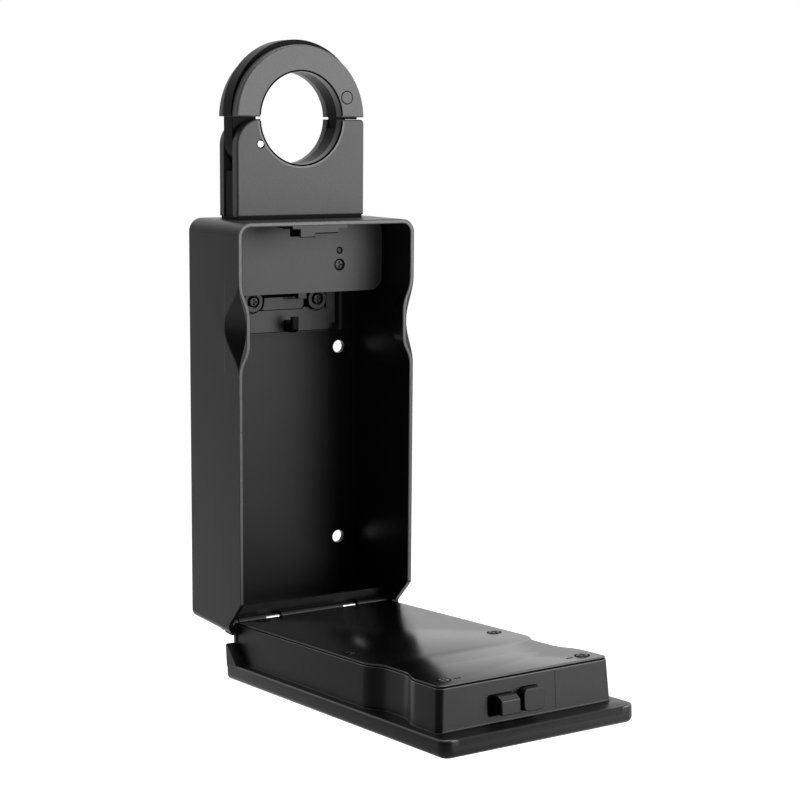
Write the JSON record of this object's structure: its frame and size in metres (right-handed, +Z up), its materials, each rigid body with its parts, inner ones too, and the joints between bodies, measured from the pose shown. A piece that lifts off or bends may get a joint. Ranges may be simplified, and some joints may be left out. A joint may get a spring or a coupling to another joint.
{
  "type": "smart key safe",
  "caption": "Key safe with a deep case, a drop-down door holding a keypad lock, and a hinged ring on top that closes round a handle or rail.",
  "frame": {"origin": "middle of the four wall holes, on the outside of the case's back", "axes": "+Z up along the case, +X to the right of someone facing the door, +Y into the wall; the door and keypad face -Y when shut"},
  "size_m": [0.08, 0.1943, 0.2536],
  "materials": {
    "case_paint": "satin",
    "hood_paint": "satin",
    "pin_steel": "polished",
    "screw_black": "satin",
    "strike_metal": "satin",
    "carrier_plastic": "fine grain",
    "hook_metal": "satin",
    "ring_cover": "fine grain",
    "ring_core": "gloss",
    "pivot_steel": "satin",
    "slide_steel": "satin",
    "door_paint": "satin",
    "inner_plate": "satin",
    "fascia_gloss": "gloss",
    "key_plastic": "satin",
    "mat_rubber": "matt",
    "board_laminate": "satin",
    "lens_plastic": "frosted",
    "cradle_plastic": "matt",
    "cell_jacket": "gloss",
    "housing_plastic": "matt",
    "spring_steel": "bright",
    "bolt_metal": "satin",
    "pinion_brass": "satin",
    "motor_can": "satin"
  },
  "bodies": {
    "case": {"case_shell": "case_paint", "hinge_pin": "pin_steel", "strike_plate": "strike_metal", "strike_rivets": "strike_metal", "mechanism_hood": "hood_paint", "hood_screw": "screw_black", "hook_carrier": "carrier_plastic", "carrier_screws": "screw_black", "key_hook": "hook_metal", "ring_foot": "mat_rubber", "block_front_cover": "ring_cover", "block_rear_cover": "ring_cover", "block_core": "ring_core", "block_screws": "screw_black", "arm_pivot": "pivot_steel"},
    "ring_arm": {"arm_core": "ring_core", "arm_front_cover": "ring_cover", "arm_rear_cover": "ring_cover", "arm_rivet": "ring_cover"},
    "ring_lock": {"ring_lock_slide": "slide_steel"},
    "door": {"door_shell": "door_paint", "door_inner_plate": "inner_plate", "plate_screws": "screw_black", "keypad_fascia": "fascia_gloss", "key_mat": "mat_rubber", "circuit_board": "board_laminate", "status_lens": "lens_plastic", "cell_cradle": "cradle_plastic", "cells": "cell_jacket", "lock_housing": "housing_plastic", "latch_spring": "spring_steel", "lock_motor": "motor_can"},
    "latch": {"latch_bolt": "bolt_metal"},
    "dead_bolt": {"dead_bolt": "bolt_metal"},
    "pinion": {"motor_pinion": "pinion_brass"},
    "key_01": {"key_01": "key_plastic"},
    "key_02": {"key_02": "key_plastic"},
    "key_03": {"key_03": "key_plastic"},
    "key_04": {"key_04": "key_plastic"},
    "key_05": {"key_05": "key_plastic"},
    "key_06": {"key_06": "key_plastic"},
    "key_07": {"key_07": "key_plastic"},
    "key_08": {"key_08": "key_plastic"},
    "key_09": {"key_09": "key_plastic"},
    "key_10": {"key_10": "key_plastic"},
    "key_11": {"key_11": "key_plastic"},
    "key_12": {"key_12": "key_plastic"}
  },
  "joints": [
    {"name": "door_hinge", "type": "hinge", "parent": "case", "child": "door", "pos_m": [0, -0.0313, -0.0644], "axis": [1, 0, 0], "range_deg": [-85, 0]},
    {"name": "ring_hinge", "type": "hinge", "parent": "case", "child": "ring_arm", "pos_m": [-0.01861, -0.0161, 0.1276], "axis": [0, -1, 0], "range_deg": [0, 85]},
    {"name": "ring_lock_slide", "type": "slide", "parent": "case", "child": "ring_lock", "axis": [-1, 0, 0], "range_m": [0, 0.0023]},
    {"name": "latch_slide", "type": "slide", "parent": "door", "child": "latch", "axis": [0, -0.9962, 0.0872], "range_m": [-0.0052, 0], "stiffness_N_per_m": 150, "springref_m": 0.006, "deforming": ["latch_spring"]},
    {"name": "dead_bolt_slide", "type": "slide", "parent": "door", "child": "dead_bolt", "axis": [0, -0.9962, 0.0872], "range_m": [0, 0.003]},
    {"name": "pinion_turn", "type": "hinge", "parent": "door", "child": "pinion", "pos_m": [0.002, -0.15951, -0.05896], "axis": [1, 0, 0], "range_deg": [-50, 0]},
    {"name": "key_01_press", "type": "slide", "parent": "door", "child": "key_01", "axis": [0, 0.0872, 0.9962], "range_m": [0, 0.0008], "stiffness_N_per_m": 600, "springref_m": -0.0005},
    {"name": "key_02_press", "type": "slide", "parent": "door", "child": "key_02", "axis": [0, 0.0872, 0.9962], "range_m": [0, 0.0008], "stiffness_N_per_m": 600, "springref_m": -0.0005},
    {"name": "key_03_press", "type": "slide", "parent": "door", "child": "key_03", "axis": [0, 0.0872, 0.9962], "range_m": [0, 0.0008], "stiffness_N_per_m": 600, "springref_m": -0.0005},
    {"name": "key_04_press", "type": "slide", "parent": "door", "child": "key_04", "axis": [0, 0.0872, 0.9962], "range_m": [0, 0.0008], "stiffness_N_per_m": 600, "springref_m": -0.0005},
    {"name": "key_05_press", "type": "slide", "parent": "door", "child": "key_05", "axis": [0, 0.0872, 0.9962], "range_m": [0, 0.0008], "stiffness_N_per_m": 600, "springref_m": -0.0005},
    {"name": "key_06_press", "type": "slide", "parent": "door", "child": "key_06", "axis": [0, 0.0872, 0.9962], "range_m": [0, 0.0008], "stiffness_N_per_m": 600, "springref_m": -0.0005},
    {"name": "key_07_press", "type": "slide", "parent": "door", "child": "key_07", "axis": [0, 0.0872, 0.9962], "range_m": [0, 0.0008], "stiffness_N_per_m": 600, "springref_m": -0.0005},
    {"name": "key_08_press", "type": "slide", "parent": "door", "child": "key_08", "axis": [0, 0.0872, 0.9962], "range_m": [0, 0.0008], "stiffness_N_per_m": 600, "springref_m": -0.0005},
    {"name": "key_09_press", "type": "slide", "parent": "door", "child": "key_09", "axis": [0, 0.0872, 0.9962], "range_m": [0, 0.0008], "stiffness_N_per_m": 600, "springref_m": -0.0005},
    {"name": "key_10_press", "type": "slide", "parent": "door", "child": "key_10", "axis": [0, 0.0872, 0.9962], "range_m": [0, 0.0008], "stiffness_N_per_m": 600, "springref_m": -0.0005},
    {"name": "key_11_press", "type": "slide", "parent": "door", "child": "key_11", "axis": [0, 0.0872, 0.9962], "range_m": [0, 0.0008], "stiffness_N_per_m": 600, "springref_m": -0.0005},
    {"name": "key_12_press", "type": "slide", "parent": "door", "child": "key_12", "axis": [0, 0.0872, 0.9962], "range_m": [0, 0.0008], "stiffness_N_per_m": 600, "springref_m": -0.0005}
  ],
  "couplings": [
    {"joint": "pinion_turn", "follows": "dead_bolt_slide", "rad_per_m": -285.71}
  ]
}
